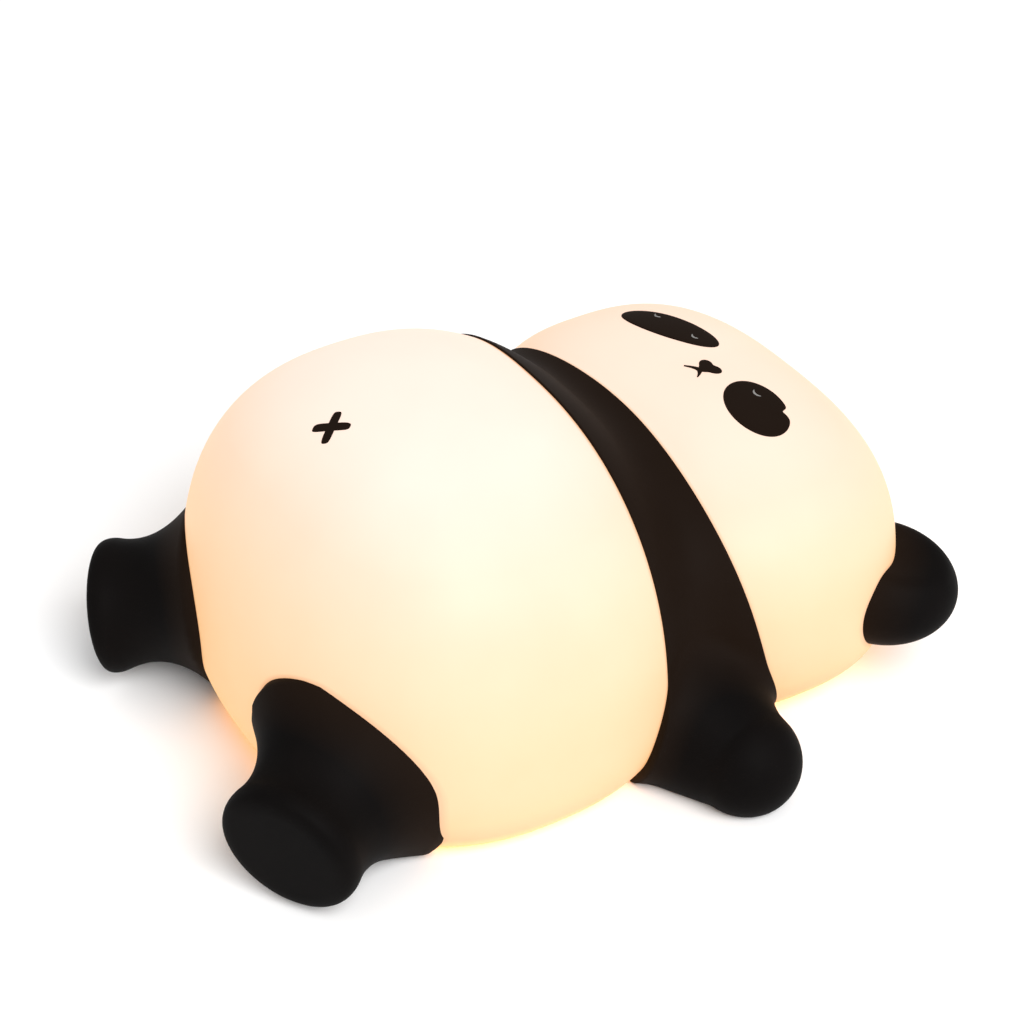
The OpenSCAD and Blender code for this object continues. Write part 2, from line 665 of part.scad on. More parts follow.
module led_board() color("whitesmoke") difference() {
    translate([0, 0, housing_top]) cylinder(r = led_board_r, h = board_t);
    at_led_screws() translate([0, 0, housing_top - 1]) cylinder(r = screw_r + fit_gap, h = board_t + 2);
}
led_w = 2.8;
led_l = 3.5;
led_t = 0.8;
outer_led_r = 17;
inner_led_r = 8;
module led_ring(count, radius) for (i = [0:count-1]) rotate(360*(i + 0.5)/count)
    translate([radius - led_w/2, -led_l/2, led_top]) cube([led_w, led_l, led_t]);
module leds() color("lightyellow") {
    led_ring(outer_leds, outer_led_r);
    led_ring(inner_leds, inner_led_r);
}
module led_leads() color("crimson") for (side = [-1, 1])
    translate([side*led_lead_x, led_lead_y, board_top]) cylinder(r = lead_r, h = housing_top - board_top, $fn = 24);

// The dome stands on the housing round its rim and keeps clear of the skin over it
dome_top = surface_point(function(p) body(p, skin_wall), [0, 0, torso_mid_z], [0, 0, 1]).z - dome_room;
dome_foot = 3;
dome_steps = 24;
module diffuser_dome() color("ivory") {
    outer_h = dome_top - housing_top - dome_foot;
    outer = [for (i = [0:dome_steps]) let (a = 90*i/dome_steps)
        [housing_out_r*cos(a), housing_top + dome_foot + outer_h*sin(a)]];
    inner = [for (i = [dome_steps:-1:0]) let (a = 90*i/dome_steps)
        [(housing_out_r - dome_wall + fit_gap)*cos(a), housing_top + dome_foot + (outer_h - dome_wall)*sin(a)]];
    foot_in_r = housing_out_r - dome_wall + fit_gap;
    rotate_extrude() polygon(concat([[foot_in_r, housing_top], [housing_out_r, housing_top]], outer, inner));
}

// ---- Port, slider and button ----

shell_t = 0.3;
module usb_shell() color(STEEL) translate([port_at.x, port_at.y, well_depth]) difference() {
    round_block(port_w, port_t, board_z - well_depth, port_t/2 - 0.05);
    translate([0, 0, -1])
        round_block(port_w - 2*shell_t, port_t - 2*shell_t, board_z - well_depth - 1, port_t/2 - shell_t - 0.05);
}
module usb_tongue() color("black") translate([port_at.x, port_at.y, well_depth]) {
    translate([-3.35, -0.35, 0.8]) cube([6.7, 0.7, board_z - well_depth - 2.8]);
}

switch_w = 3.6;
switch_l = 9;
switch_t = 3.6;
lever_w = 1.4;
lever_drop = 3;
slot_in_body = 1.2;
module slide_switch() color(STEEL) difference() {
    translate([slider_at.x - switch_w/2, -switch_l/2, board_z - switch_t]) cube([switch_w, switch_l, switch_t]);
    translate([slider_at.x - lever_w/2 - run_gap, slider_at.y - lever_w/2 - run_gap, board_z - switch_t - 1])
        cube([lever_w + 2*run_gap, slider_travel + lever_w + 2*run_gap, slot_in_body + run_gap + 1]);
}
module switch_lever() color("black")
    translate([slider_at.x - lever_w/2, slider_at.y - lever_w/2, board_z - switch_t - lever_drop])
        cube([lever_w, lever_w, lever_drop + slot_in_body]);

// The slider's finger piece fills its slot, a plate behind it rides on the cover,
// and a fork on the plate holds the switch's lever
slider_recess = 0.25;
plate_t = 1;
fork_t = 1;
module power_slider() color("gray") translate([slider_at.x, slider_at.y, 0]) {
    translate([0, 0, cover_lift + slider_recess])
        round_block(finger_w, finger_l, cover_top + run_gap + plate_t/2 - cover_lift - slider_recess, 0.5);
    translate([0, 0, cover_top + run_gap]) round_block(finger_w + 2.4, finger_l + slider_travel + 3, plate_t, 0.6);
    for (side = [-1, 1]) translate([-1.4, side*(lever_w/2 + fork_t/2 + fit_gap) - fork_t/2, cover_top + run_gap])
        cube([2.8, fork_t, board_z - switch_t - run_gap - cover_top - run_gap - 0.4]);
}

tact_w = 6;
tact_t = 3.5;
plunger_r = 1.7;
plunger_drop = 1.5;
plunger_in = 1;
module tact_switch() color("dimgray") difference() {
    translate([button_at.x - tact_w/2, button_at.y - tact_w/2, board_z - tact_t]) cube([tact_w, tact_w, tact_t]);
    translate([button_at.x, button_at.y, board_z - tact_t - 1])
        cylinder(r = plunger_r + fit_gap, h = 1 + plunger_in + button_travel + run_gap);
}
module tact_plunger() color("black") translate([button_at.x, button_at.y, board_z - tact_t - plunger_drop])
    cylinder(r = plunger_r, h = plunger_drop + plunger_in);
flange_w = 1.1;
flange_t = 0.9;
stem_r = 1.3;
module timer_button() color("gray") translate([button_at.x, button_at.y, 0]) {
    translate([0, 0, cover_lift + slider_recess])
        cylinder(r = button_r, h = cover_top + fit_gap + flange_t/2 - cover_lift - slider_recess);
    translate([0, 0, cover_top + fit_gap]) cylinder(r = button_r + flange_w, h = flange_t);
    translate([0, 0, cover_top + fit_gap]) cylinder(r = stem_r, h = board_z - tact_t - plunger_drop - cover_top - fit_gap);
}

pipe_flange_w = 0.9;
pipe_top_gap = 1.2;
module charge_light_pipe() color("lightcyan") translate([pipe_at.x, pipe_at.y, 0]) {
    translate([0, 0, cover_lift]) cylinder(r = pipe_r, h = board_z - pipe_top_gap - cover_lift);
    translate([0, 0, cover_top]) cylinder(r = pipe_r + pipe_flange_w, h = 1);
}

body_skin();
arm_band();
left_leg();
right_leg();
left_ear();
right_ear();
left_eye_patch();
right_eye_patch();
left_eye_arc();
right_eye_arcs();
nose_and_mouth();
navel_cross();
base_housing();
bottom_cover();
cover_screws();
non_slip_pad();
control_board();
board_parts();
board_screws();
battery_cell();
battery_foam();
battery_lead_plus();
battery_lead_minus();
led_board();
leds();
led_board_screws();
led_leads();
diffuser_dome();
usb_shell();
usb_tongue();
slide_switch();
switch_lever();
power_slider();
tact_switch();
tact_plunger();
timer_button();
charge_light_pipe();
tap_sensor();
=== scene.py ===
# Looks of a soft silicone night light: a panda lying on its back, glowing from inside.
# Shapes are worked out in millimetres in the CAD frame and become metres as each mesh is made.
import math

import bmesh
import bpy
import numpy as np
from mathutils import Matrix, Vector


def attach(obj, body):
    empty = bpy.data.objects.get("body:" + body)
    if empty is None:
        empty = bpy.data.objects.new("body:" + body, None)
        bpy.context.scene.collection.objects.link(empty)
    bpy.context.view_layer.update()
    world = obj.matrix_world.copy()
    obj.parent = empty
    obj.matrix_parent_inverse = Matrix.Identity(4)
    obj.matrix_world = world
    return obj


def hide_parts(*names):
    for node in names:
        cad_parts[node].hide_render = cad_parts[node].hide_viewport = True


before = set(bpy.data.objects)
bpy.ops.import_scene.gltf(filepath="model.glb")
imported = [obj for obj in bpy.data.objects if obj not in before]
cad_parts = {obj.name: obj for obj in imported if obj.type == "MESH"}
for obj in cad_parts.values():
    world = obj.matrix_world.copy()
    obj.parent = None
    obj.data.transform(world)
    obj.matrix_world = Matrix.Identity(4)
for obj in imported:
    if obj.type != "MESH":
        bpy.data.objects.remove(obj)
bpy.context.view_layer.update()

MM = 0.001
LAMP = "lamp"


# ---------------------------------------------------------------- sizes of the body

class Form:
    """A rounded, egg-like form: centre, half sizes (side, along, up, down) and powers."""

    def __init__(self, centre, half, power):
        self.centre = np.array(centre, float)
        self.half = half
        self.power = power

    def level(self, p):
        """Roughly the distance from p to the form, below 0 inside it."""
        q = p - self.centre
        up = q[..., 2] > 0
        power = np.where(up, self.power[1], self.power[2])
        height = np.where(up, self.half[2], self.half[3])
        side, along = np.abs(q[..., 0] / self.half[0]), np.abs(q[..., 1] / self.half[1])
        plan = side ** self.power[0] + along ** self.power[0]
        level = (plan ** (power / self.power[0]) + np.abs(q[..., 2] / height) ** power) ** (1 / power)
        return (level - 1) * min(self.half[:3])


TORSO = Form((0, -16, 27.5), (72, 58, 68.5, 40.5), (2.4, 2.35, 2.6))
HEAD = Form((0, 61, 32), (66, 43.5, 42, 38.5), (2.65, 2.8, 2.9))
PAN = Form((0, 14, 22), (48, 58, 26, 36), (2.3, 2.3, 2.75))
NECK_BLEND = 10.5
PAN_BLEND = 5
HEART = np.array((0.0, 29.0, 27.5))
SKIN_WALL = 4
RECESS_R = 38.5
OPENING_R = 34
LIP_LOW = 2.9
LIP_TOP = 5.1

# The black pieces end just above the skin's flat underside, so that they never lie level with it
BLACK_LIFT = 0.2

LEG_SPLAY = math.radians(33)
LEG_PITCH = math.radians(5.5)
LEG_DIR = np.array((-math.sin(LEG_SPLAY) * math.cos(LEG_PITCH),
                    math.cos(LEG_SPLAY) * math.cos(LEG_PITCH), math.sin(LEG_PITCH)))
SOLE_AT = np.array((56.0, -85.7, 19.5))
SOLE_R = 20.5
ANKLE_R = 18.5
THIGH_R = 29
LEG_LEN = 29
LEG_END = 1.3 * LEG_LEN
LEG_FLOOR_EDGE = 3.0
LEG_TUCK = 7
TUCK_DROP = 0.7
TUCK_DIR = np.array((-math.cos(LEG_SPLAY), -math.sin(LEG_SPLAY), -TUCK_DROP))
TUCK_DIR /= np.linalg.norm(TUCK_DIR)
SOLE_ROUND = 6
SOLE_EDGE = 1.5

PAW_AT = np.array((76.5, 31.3, 10.5))
PAW_R = 14
SHOULDER_R = 28
ARM_LEN = 43
ARM_ANGLE = math.radians(12.5)
ARM_RISE = 0.12
ARM_DIR = np.array((-math.cos(ARM_ANGLE), -math.sin(ARM_ANGLE), ARM_RISE))
ARM_DIR /= np.linalg.norm(ARM_DIR)

BAND_FOOT_Y = 15.9
BAND_HEAD_Y = 49.4
BAND_LEAN = 0.24
BAND_SWING = 0.15
SWING_FROM = 22
CHEST_Z = 38
ARMPIT_BLEND = 5

EAR_AT = np.array((52.5, 88.5, 28.0))
EAR_TURN = math.radians(23)
EAR_HALF = (21.0, 18.5, 14.5)
DISH_AT = np.array((59.0, 93.0, 50.3))
DISH_R = 13.0
DISH_SOFT = 6.0


# ---------------------------------------------------------------- fields: below 0 inside

def blend(a, b, k):
    """Two fields joined with a soft crease."""
    h = np.clip(0.5 + 0.5 * (b - a) / k, 0, 1)
    return b * (1 - h) + a * h - k * h * (1 - h)


def cut(a, b, k):
    """What both fields hold, with a rounded edge."""
    return -blend(-a, -b, k)


def inset(form, depth):
    """The same form, smaller by depth all round."""
    return Form(form.centre, tuple(h - depth for h in form.half), form.power)


def body(p, depth=0.0):
    """The white body, made smaller all round by depth."""
    torso, head, pan = (inset(f, depth) for f in (TORSO, HEAD, PAN))
    return blend(blend(torso.level(p), head.level(p), NECK_BLEND), pan.level(p), PAN_BLEND)


def length(v):
    return np.linalg.norm(v, axis=-1)


def mirrored(p):
    return p * np.array((-1, 1, 1))


def leg_sides(p):
    """Distance to the waisted stem of the left leg, less flared on its inner lower side."""
    q = p - SOLE_AT
    t = q @ LEG_DIR
    s = np.clip(t / LEG_LEN, 0, 1)
    waist = -3 * SOLE_R - THIGH_R + 4 * ANKLE_R
    flare = 2 * (SOLE_R + THIGH_R - 2 * ANKLE_R)
    rim_t = np.clip(t, 0, SOLE_ROUND)
    rim = SOLE_ROUND - np.sqrt(rim_t * (2 * SOLE_ROUND - rim_t))
    out = q - t[..., None] * LEG_DIR
    tuck = LEG_TUCK * s * np.clip(out @ TUCK_DIR / np.maximum(length(out), 1e-6), 0, 1) ** 2
    radius = SOLE_R + waist * s + flare * s * s - rim - tuck
    return length(out) - radius, t


def leg(p):
    """The left leg with its flat sole, cut where it ends inside the body and at the floor."""
    sides, t = leg_sides(p)
    stem = np.maximum(cut(sides, -t, SOLE_EDGE), t - LEG_END)
    return cut(stem, BLACK_LIFT - p[..., 2], LEG_FLOOR_EDGE)


def arm(p):
    """The left arm: a round paw that widens into a cone."""
    q = p - PAW_AT
    t = np.clip(q @ ARM_DIR, 0, ARM_LEN)
    radius = PAW_R + (SHOULDER_R - PAW_R) * t / ARM_LEN
    return length(q - t[..., None] * ARM_DIR) - radius


def both_arms(p):
    return np.minimum(arm(p), arm(mirrored(p)))


def ear(p):
    """A thick lobe at the corner of the head, with a soft hollow in its upper face."""
    q = p - EAR_AT
    outward = np.array((math.cos(EAR_TURN), math.sin(EAR_TURN), 0))
    across = np.array((-math.sin(EAR_TURN), math.cos(EAR_TURN), 0))
    local = np.stack((q @ outward, q @ across, q[..., 2]), axis=-1)
    lobe = (length(local / np.array(EAR_HALF)) - 1) * EAR_HALF[2]
    return cut(lobe, DISH_R - length(p - DISH_AT), DISH_SOFT)


def band_edge(p):
    """How far along the body the head-side edge of the chest band lies, at p."""
    swing = BAND_SWING * (np.hypot(p[..., 0], SWING_FROM) - SWING_FROM)
    return BAND_HEAD_Y - BAND_LEAN * (p[..., 2] - CHEST_Z) - swing


def black_cover(p):
    """Below 0 where the band and arms cover the skin at p."""
    band = np.maximum(BAND_FOOT_Y - p[..., 1], p[..., 1] - band_edge(p))
    return blend(band, both_arms(p), ARMPIT_BLEND)


# ---------------------------------------------------------------- surfaces along rays

# How far rays are followed; each reaches beyond the form it starts in
RAY_SHORT = 90
RAY_MIDDLE = 110
RAY_LONG = 120


def reach(field, start, dirs, far, steps=48):
    """Distance along each ray to the place where it first leaves the field's inside."""
    near = np.zeros(len(dirs))
    leaving = np.zeros(len(dirs), bool)
    stride = far / steps
    for k in range(1, steps + 1):
        inside = field(start + k * stride * dirs) < 0
        leaving |= ~inside
        near = np.where(leaving, near, k * stride)
    low, high = near, near + stride
    for _ in range(20):
        mid = (low + high) / 2
        inside = field(start + mid[:, None] * dirs) < 0
        low = np.where(inside, mid, low)
        high = np.where(inside, high, mid)
    return (low + high) / 2


def top_of_skin(xy, lift):
    """Points on the upper skin over the plan points xy, raised by lift."""
    start = np.column_stack((xy, np.full(len(xy), TORSO.centre[2])))
    up = np.tile((0.0, 0.0, 1.0), (len(xy), 1))
    rise = reach(body, start, up, RAY_SHORT)[:, None] + np.reshape(lift, (-1, 1))
    return start + rise * up


# ---------------------------------------------------------------- meshes

def loft(first, rings, last):
    """Points and faces of a closed form: a first point, rings of equal length, a last point."""
    count, n = len(rings), len(rings[0])
    points = np.vstack([[first]] + list(rings) + [[last]])
    i = np.arange(n)
    following = (i + 1) % n
    faces = [[0, 1 + b, 1 + a] for a, b in zip(i, following)]
    for j in range(count - 1):
        low, high = 1 + j * n, 1 + (j + 1) * n
        faces += np.column_stack((low + i, low + following, high + following, high + i)).tolist()
    end = 1 + (count - 1) * n
    faces += [[1 + count * n, end + a, end + b] for a, b in zip(i, following)]
    return points, faces


def make_mesh(name, parts, material, attributes=None):
    """One smooth object at the origin from (points, faces) parts given in millimetres."""
    points, faces, start = [], [], 0
    for part_points, part_faces in parts:
        points.append(part_points)
        faces += [[v + start for v in f] for f in part_faces]
        start += len(part_points)
    points = np.vstack(points)
    mesh = bpy.data.meshes.new(name)
    mesh.from_pydata((points * MM).tolist(), [], faces)
    tidy = bmesh.new()
    tidy.from_mesh(mesh)
    bmesh.ops.recalc_face_normals(tidy, faces=tidy.faces)
    tidy.to_mesh(mesh)
    tidy.free()
    mesh.shade_smooth()
    for key, values in (attributes(points) if attributes else {}).items():
        mesh.attributes.new(key, "FLOAT", "POINT").data.foreach_set("value", values.astype(np.float32))
    mesh.materials.append(material)
    piece = bpy.data.objects.new(name, mesh)
    bpy.context.scene.collection.objects.link(piece)
    return piece


def fit_out(piece, slot, *nodes):
    """The piece rides on the lamp and stands for its CAD nodes; slot is not used."""
    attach(piece, LAMP)
    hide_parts(*nodes)


def circle_angles(n):
    return 2 * math.pi * np.arange(n) / n


def blob(field, centre, axis, around, rings, far):
    """The closed surface that one point inside the field can see, with its poles on axis."""
    w = np.array(axis) / np.linalg.norm(axis)
    u = np.cross(w, (0, 0, 1) if abs(w[2]) < 0.9 else (1, 0, 0))
    u /= np.linalg.norm(u)
    v = np.cross(w, u)
    a = circle_angles(around)
    dirs = [w]
    for j in range(1, rings):
        t = math.pi * j / rings
        dirs += list(math.cos(t) * w + math.sin(t) * (np.cos(a)[:, None] * u + np.sin(a)[:, None] * v))
    dirs = np.array(dirs + [-w])
    points = centre + reach(field, centre, dirs, far)[:, None] * dirs
    grid = points[1:-1].reshape(rings - 1, around, 3)
    return loft(points[0], list(grid), points[-1])


# ---------------------------------------------------------------- materials

class Finish:
    """A node material on a Principled shader, with short calls to add and join nodes."""

    def __init__(self, name, roughness, specular=0.5, metallic=0.0):
        self.material = bpy.data.materials.new(name)
        self.material.use_nodes = True
        self.tree = self.material.node_tree
        self.shader = self.tree.nodes["Principled BSDF"]
        self.shader.inputs["Roughness"].default_value = roughness
        self.shader.inputs["Specular IOR Level"].default_value = specular
        self.shader.inputs["Metallic"].default_value = metallic
        self.place = self.add("ShaderNodeTexCoord").outputs["Object"]

    def add(self, kind, **inputs):
        node = self.tree.nodes.new(kind)
        for key, value in inputs.items():
            node.inputs[key.replace("_", " ")].default_value = value
        return node

    def join(self, output, node, key):
        self.tree.links.new(output, node.inputs[key])

    def noise(self, scale, detail=4.0):
        node = self.add("ShaderNodeTexNoise", Scale=scale, Detail=detail)
        self.join(self.place, node, "Vector")
        return node.outputs["Fac"]

    def ramp(self, factor, *stops):
        node = self.add("ShaderNodeValToRGB")
        band = node.color_ramp
        for k, (position, colour) in enumerate(stops):
            stop = band.elements[k] if k < 2 else band.elements.new(position)
            stop.position = position
            stop.color = (*colour, 1)
        self.join(factor, node, "Fac")
        return node.outputs["Color"]

    def measure(self, key, low, high, start=0, end=1):
        """The piece's own attribute, turned into start at low and end at high."""
        source = self.add("ShaderNodeAttribute")
        source.attribute_name = key
        node = self.add("ShaderNodeMapRange", From_Min=low, From_Max=high, To_Min=start, To_Max=end)
        self.join(source.outputs["Fac"], node, "Value")
        return node.outputs["Result"]

    def mix(self, factor, a, b):
        """Colours a and b mixed by factor; each may be a value or a node's output."""
        node = self.add("ShaderNodeMix")
        node.data_type = "RGBA"
        for value, key in ((factor, 0), (a, 6), (b, 7)):
            if isinstance(value, bpy.types.NodeSocket):
                self.tree.links.new(value, node.inputs[key])
            else:
                node.inputs[key].default_value = value if key == 0 else (*value, 1)
        return node.outputs[2]

    def colour(self, output):
        self.join(output, self.shader, "Base Color")

    def glow(self, output):
        self.join(output, self.shader, "Emission Color")
        self.shader.inputs["Emission Strength"].default_value = 1

    def bump(self, height, strength, depth):
        node = self.add("ShaderNodeBump", Strength=strength, Distance=depth)
        self.join(height, node, "Height")
        self.join(node.outputs["Normal"], self.shader, "Normal")


def shade(colour, factor):
    """The colour made darker or lighter by factor."""
    return tuple(min(1, c * factor) for c in colour)


def glowing_silicone():
    """White silicone lit from inside, orange low down and at black edges, with painted light from above
    that makes it paler on top.
    """
    f = Finish("glowing_white_silicone", 0.5, 0.2)
    mottle = f.noise(38, 3)
    f.colour(f.ramp(mottle, (0.3, (0.30, 0.29, 0.26)), (0.7, (0.32, 0.31, 0.28))))
    # The glow is paler where the skin faces up or stands high: painted light from above laid over the inner
    # glow
    glow_and_painted_top_light = f.ramp(f.measure("crown", 0, 1), (0.15, (0.71, 0.235, 0.005)), (1, (0.78, 0.56, 0.48)),
                  (0.3, (0.74, 0.34, 0.05)), (0.5, (0.745, 0.37, 0.10)), (0.7, (0.75, 0.405, 0.185)),
                  (0.85, (0.76, 0.44, 0.28)))
    drift = f.ramp(f.noise(22, 2), (0.35, (0.7, 0.30, 0.10)), (0.65, (0.8, 0.5, 0.3)))
    f.glow(f.mix(f.measure("seam", 1.1, 0.1), f.mix(0.06, glow_and_painted_top_light, drift), (0.62, 0.23, 0.02)))
    f.join(f.measure("crown", 0.06, 0.2, 2.3, 1), f.shader, "Emission Strength")
    f.bump(f.noise(900, 6), 0.05, 0.0002)
    return f.material


def black_silicone():
    """Matt black silicone with a faint painted warm glow near the skin, standing in for the skin's light
    falling on it.
    """
    f = Finish("matt_black_silicone", 0.62, 0.03)
    f.colour(f.ramp(f.noise(60, 5), (0.3, (0.0030, 0.0025, 0.0024)), (0.7, (0.0042, 0.0034, 0.0032))))
    # Painted light: a faint warm glow on the black where it meets the skin
    f.glow(f.mix(f.measure("skin_near", 7, 0.5), (0.0, 0.0, 0.0), (0.010, 0.0042, 0.0012)))
    f.bump(f.noise(1400, 6), 0.12, 0.0002)
    return f.material


def printed_grey():
    f = Finish("printed_grey", 0.6, 0.2)
    f.colour(f.ramp(f.noise(700, 4), (0.3, (0.20, 0.19, 0.18)), (0.7, (0.27, 0.26, 0.25))))
    f.bump(f.noise(1500, 4), 0.1, 0.0001)
    return f.material


def moulded(name, colour, roughness=0.45, grain=900, depth=0.0001, specular=0.5):
    """Moulded plastic, rubber or foam: two near tones and a fine grain."""
    f = Finish(name, roughness, specular)
    f.colour(f.ramp(f.noise(45, 5), (0.3, shade(colour, 0.92)), (0.7, shade(colour, 1.06))))
    f.bump(f.noise(grain, 6), 0.25, depth)
    return f.material


def plated(name, colour, roughness=0.3):
    """Plated or brushed metal with a faint grain drawn along it."""
    f = Finish(name, roughness, metallic=1.0)
    stretch = f.add("ShaderNodeMapping", Scale=(1, 1, 12))
    f.join(f.place, stretch, "Vector")
    grain = f.add("ShaderNodeTexNoise", Scale=400, Detail=5)
    f.join(stretch.outputs["Vector"], grain, "Vector")
    f.colour(f.ramp(grain.outputs["Fac"], (0.3, shade(colour, 0.85)), (0.7, shade(colour, 1.05))))
    f.bump(grain.outputs["Fac"], 0.1, 0.00005)
    return f.material


def clear_plastic():
    f = Finish("clear_plastic", 0.08)
    f.colour(f.ramp(f.noise(120, 3), (0.3, (0.90, 0.93, 0.95)), (0.7, (0.97, 0.98, 1.0))))
    f.shader.inputs["Transmission Weight"].default_value = 0.9
    f.bump(f.noise(600, 3), 0.03, 0.00005)
    return f.material


def frosted_plastic():
    f = Finish("frosted_diffuser", 0.55)
    f.colour(f.ramp(f.noise(90, 4), (0.3, (0.86, 0.83, 0.76)), (0.7, (0.93, 0.90, 0.84))))
    f.shader.inputs["Transmission Weight"].default_value = 0.35
    f.bump(f.noise(1200, 6), 0.3, 0.0001)
    return f.material


def circuit_board(name, colour, copper):
    """Solder resist over a net of copper tracks."""
    f = Finish(name, 0.35)
    tracks = f.add("ShaderNodeTexVoronoi", Scale=260)
    tracks.distance = "MANHATTAN"
    f.join(f.place, tracks, "Vector")
    f.colour(f.ramp(tracks.outputs["Distance"], (0.42, colour), (0.5, copper)))
    f.bump(tracks.outputs["Distance"], 0.15, 0.00005)
    return f.material


SKIN = glowing_silicone()
BLACK = black_silicone()
GREY_PRINT = printed_grey()


# ---------------------------------------------------------------- the glowing skin

AROUND = 340
OUTER_RINGS = 170
INNER_RINGS = 30
FLOOR_RINGS = 6
SEAM_FAR = 5.0
UNDERSIDE_Z = 0.5
# Painted light from above: full at this height, and this share of it comes from facing up
TOP_LIGHT_Z = 90
FACING_SHARE = 0.6


def compass():
    """Level directions, evenly spaced all round."""
    a = circle_angles(AROUND)
    return np.column_stack((np.cos(a), np.sin(a), np.zeros(AROUND)))


def floor_ring(depth, z):
    """The body's outline at height z."""
    start = np.array((HEART[0], HEART[1], z))
    return start + reach(lambda p: body(p, depth), start, compass(), RAY_MIDDLE)[:, None] * compass()


def dome_rings(depth, foot, count):
    """Rings of the body's surface from straight over the heart down to its foot ring."""
    toward = foot - HEART
    tilt = np.arccos(toward[:, 2] / length(toward))
    east, north = compass()[:, 0], compass()[:, 1]
    tilts = [tilt * j / count for j in range(1, count)]
    dirs = np.vstack([np.column_stack((east * np.sin(t), north * np.sin(t), np.cos(t))) for t in tilts])
    points = HEART + reach(lambda p: body(p, depth), HEART, dirs, RAY_LONG)[:, None] * dirs
    return list(points.reshape(count - 1, AROUND, 3))


def top_of_dome(depth):
    up = np.array(((0.0, 0.0, 1.0),))
    return HEART + reach(lambda p: body(p, depth), HEART, up, RAY_SHORT)[0] * up[0]


def flat_ring(radius, z):
    return compass() * radius + np.array((0, 0, z))


def skin_measures(p):
    """How far up each point faces the sky, which sets the painted light from above, and how far it is from
    a black edge.
    """
    step = 0.5
    slope = [body(p + step * axis) - body(p - step * axis) for axis in np.eye(3)]
    normal = np.column_stack(slope)
    normal /= np.maximum(length(normal), 1e-9)[:, None]
    height = np.clip(p[:, 2] / TOP_LIGHT_Z, 0, 1)
    # Painted light from above: part from facing up, part from height
    crown = FACING_SHARE * (0.5 + 0.5 * normal[:, 2]) + (1 - FACING_SHARE) * height
    limbs = [leg(p), leg(mirrored(p)), ear(p), ear(mirrored(p)), black_cover(p)]
    seam = np.where(p[:, 2] < UNDERSIDE_Z, SEAM_FAR, np.minimum.reduce(limbs))
    return {"crown": crown, "seam": seam}


def glowing_skin():
    """The hollow skin: over the dome, in under the body, round the lip and back up inside."""
    outer_foot = floor_ring(0, 0)
    inner_foot = floor_ring(SKIN_WALL, LIP_TOP)
    rings = dome_rings(0, outer_foot, OUTER_RINGS) + [outer_foot]
    inward = (flat_ring(RECESS_R, 0) - outer_foot) / FLOOR_RINGS
    rings += [outer_foot + inward * k for k in range(1, FLOOR_RINGS + 1)]
    rings += [flat_ring(r, z) for r, z in ((RECESS_R, LIP_LOW), (OPENING_R, LIP_LOW), (OPENING_R, LIP_TOP))]
    rings += [inner_foot] + dome_rings(SKIN_WALL, inner_foot, INNER_RINGS)[::-1]
    form = loft(top_of_dome(0), rings, top_of_dome(SKIN_WALL))
    piece = make_mesh("glowing_skin", [form], SKIN, skin_measures)
    fit_out(piece, "white_silicone", "body_skin")


# ---------------------------------------------------------------- black band, arms, legs, ears

BAND_CORE = np.array((0.0, 22.0, 20.0))
BAND_PROUD = 0.5
BAND_SUNK = 1.2
BAND_FILLET = 6
EDGE_OFFSETS = np.array((0.0, 0.06, 0.18, 0.36, 0.6, 0.9))
EDGE_ROUND = 0.6
BAND_PITCH = 0.9
BAND_CELLS = 70
BAND_BACK_CELLS = 10
BAND_FLOOR_EDGE = 1.0
BAND_MIDDLE_Y = 30.0
BAND_FOOT_ROOM = 4
BAND_TURNS = 1600
LEAN_MIDDLE = 1.2
LEAN_FAR = 1.35


def band_dirs(a, e):
    """Directions from the band's core: a turns over the chest, e leans towards the head."""
    return np.column_stack((np.cos(e) * np.cos(a), np.sin(e), np.cos(e) * np.sin(a)))


def skin_and_floor(p):
    """The skin, cut just above its flat underside so that no black lies level with it."""
    return np.maximum(body(p), BLACK_LIFT - p[..., 2])


def black_form(p):
    """The arms, joined to a layer over the whole skin; the band is the part between its edges."""
    joined = blend(both_arms(p), body(p) - BAND_PROUD, BAND_FILLET)
    return cut(joined, BLACK_LIFT - p[..., 2], BAND_FLOOR_EDGE)


def on_skin(a, e):
    """The skin's points in the directions a, e, found with fewer steps."""
    dirs = band_dirs(a, e)
    return BAND_CORE + reach(skin_and_floor, BAND_CORE, dirs, RAY_MIDDLE, 24)[:, None] * dirs


def lean_where(a, test, low, high):
    """For each turn a, the lean between low and high at which test goes above 0."""
    low, high = np.broadcast_to(low, len(a)), np.broadcast_to(high, len(a))
    for _ in range(22):
        mid = (low + high) / 2
        past = test(on_skin(a, mid)) > 0
        low = np.where(past, low, mid)
        high = np.where(past, mid, high)
    return (low + high) / 2


def band_turns():
    """Turns from the floor on one side to the floor on the other, evenly spaced on the band."""
    foot = reach(body, np.array((0, BAND_MIDDLE_Y, 0.0)), np.array(((1.0, 0, 0),)), RAY_SHORT)[0]
    lowest = -math.atan2(BAND_CORE[2], foot - BAND_FOOT_ROOM)
    a = np.linspace(lowest, math.pi - lowest, BAND_TURNS)
    e = lean_where(a, lambda p: p[:, 1] - BAND_MIDDLE_Y, -LEAN_MIDDLE, LEAN_MIDDLE)
    dirs = band_dirs(a, e)
    line = BAND_CORE + reach(black_form, BAND_CORE, dirs, RAY_MIDDLE)[:, None] * dirs
    walked = np.concatenate(([0], np.cumsum(length(np.diff(line, axis=0)))))
    even = np.linspace(0, walked[-1], int(walked[-1] / BAND_PITCH))
    return np.interp(even, walked, a), np.interp(even, walked, e)


def band_shares(width):
    """Shares of the way across the band, set closer at its two rounded edges."""
    near = EDGE_OFFSETS / width
    inner = np.linspace(0, 1, BAND_CELLS + 1)[1:-1]
    middle = near[:, -1:] + (1 - 2 * near[:, -1:]) * inner
    return np.hstack((near, middle, (1 - near)[:, ::-1]))


